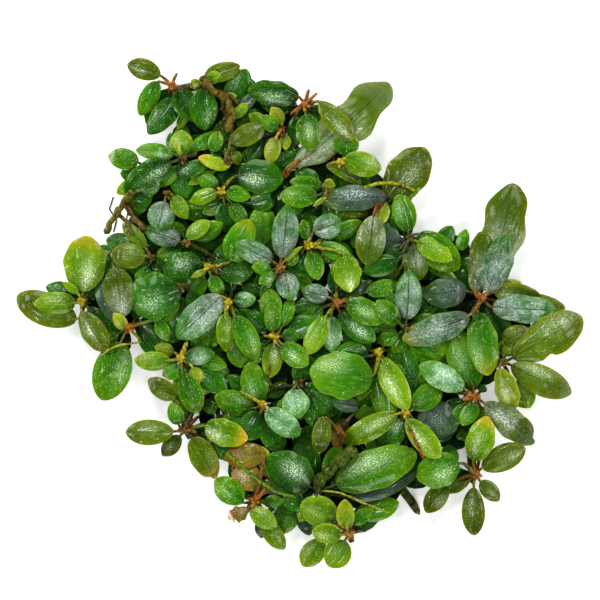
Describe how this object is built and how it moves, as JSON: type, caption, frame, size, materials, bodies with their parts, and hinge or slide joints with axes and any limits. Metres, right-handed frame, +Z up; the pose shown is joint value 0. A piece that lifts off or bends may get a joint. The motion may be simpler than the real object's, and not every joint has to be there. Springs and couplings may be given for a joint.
{
  "type": "bucephalandra",
  "caption": "Clump of bucephalandra, a small aquarium plant: rosettes of glossy oval leaves on short stems along creeping rhizomes, cut flat underneath.",
  "frame": {"origin": "on the flat cut underside of the middle rhizome, under the middle of the clump", "axes": "+Z up from the surface it rests on; +X and +Y across the clump, +Y towards the side that is at the top of the picture"},
  "size_m": [0.1582, 0.1422, 0.0199],
  "materials": {
    "green_leaf": "wet gloss",
    "olive_leaf": "wet gloss",
    "silver_leaf": "wet sheen",
    "ageing_leaf": "wet satin",
    "rhizome": "wet satin",
    "root": "wet satin"
  },
  "bodies": {
    "root": {"rhizome_bottom": "rhizome", "rhizome_bottom_mid": "rhizome", "rhizome_left": "rhizome", "rhizome_left_inner": "rhizome", "rhizome_left_side": "rhizome", "rhizome_left_upper": "rhizome", "rhizome_lower_centre": "rhizome", "rhizome_lower_left": "rhizome", "rhizome_lower_right": "rhizome", "rhizome_lower_right_inner": "rhizome", "rhizome_middle": "rhizome", "rhizome_right": "rhizome", "rhizome_top_left": "rhizome", "rhizome_top_right": "rhizome", "rhizome_upper_left": "rhizome", "rhizome_upper_middle": "rhizome", "rosette_bottom": "ageing_leaf", "rosette_bottom_left": "olive_leaf", "rosette_bottom_mid": "olive_leaf", "rosette_bottom_right": "olive_leaf", "rosette_centre": "green_leaf", "rosette_centre_left": "silver_leaf", "rosette_centre_low": "green_leaf", "rosette_centre_right": "green_leaf", "rosette_centre_upper": "silver_leaf", "rosette_left": "green_leaf", "rosette_left_centre": "green_leaf", "rosette_left_edge": "olive_leaf", "rosette_left_inner": "silver_leaf", "rosette_left_mid": "green_leaf", "rosette_left_shaded": "green_leaf", "rosette_left_upper": "green_leaf", "rosette_low_right_inner": "green_leaf", "rosette_lower_brown": "ageing_leaf", "rosette_lower_centre": "green_leaf", "rosette_lower_left": "green_leaf", "rosette_lower_mid": "green_leaf", "rosette_lower_right": "silver_leaf", "rosette_middle_gap": "green_leaf", "rosette_right_edge": "olive_leaf", "rosette_right_inner": "green_leaf", "rosette_right_middle": "green_leaf", "rosette_right_tall": "silver_leaf", "rosette_top_bud": "green_leaf", "rosette_top_inner": "green_leaf", "rosette_top_left": "olive_leaf", "rosette_top_mid": "green_leaf", "rosette_top_right": "olive_leaf", "rosette_upper_centre": "green_leaf", "rosette_upper_inner": "green_leaf", "rosette_upper_left": "silver_leaf", "rosette_upper_left_edge": "green_leaf", "rosette_upper_left_low": "green_leaf", "rosette_upper_middle": "green_leaf", "rosette_upper_right": "green_leaf", "rosette_upper_right_small": "green_leaf", "rosette_wavy": "olive_leaf"}
  },
  "joints": []
}
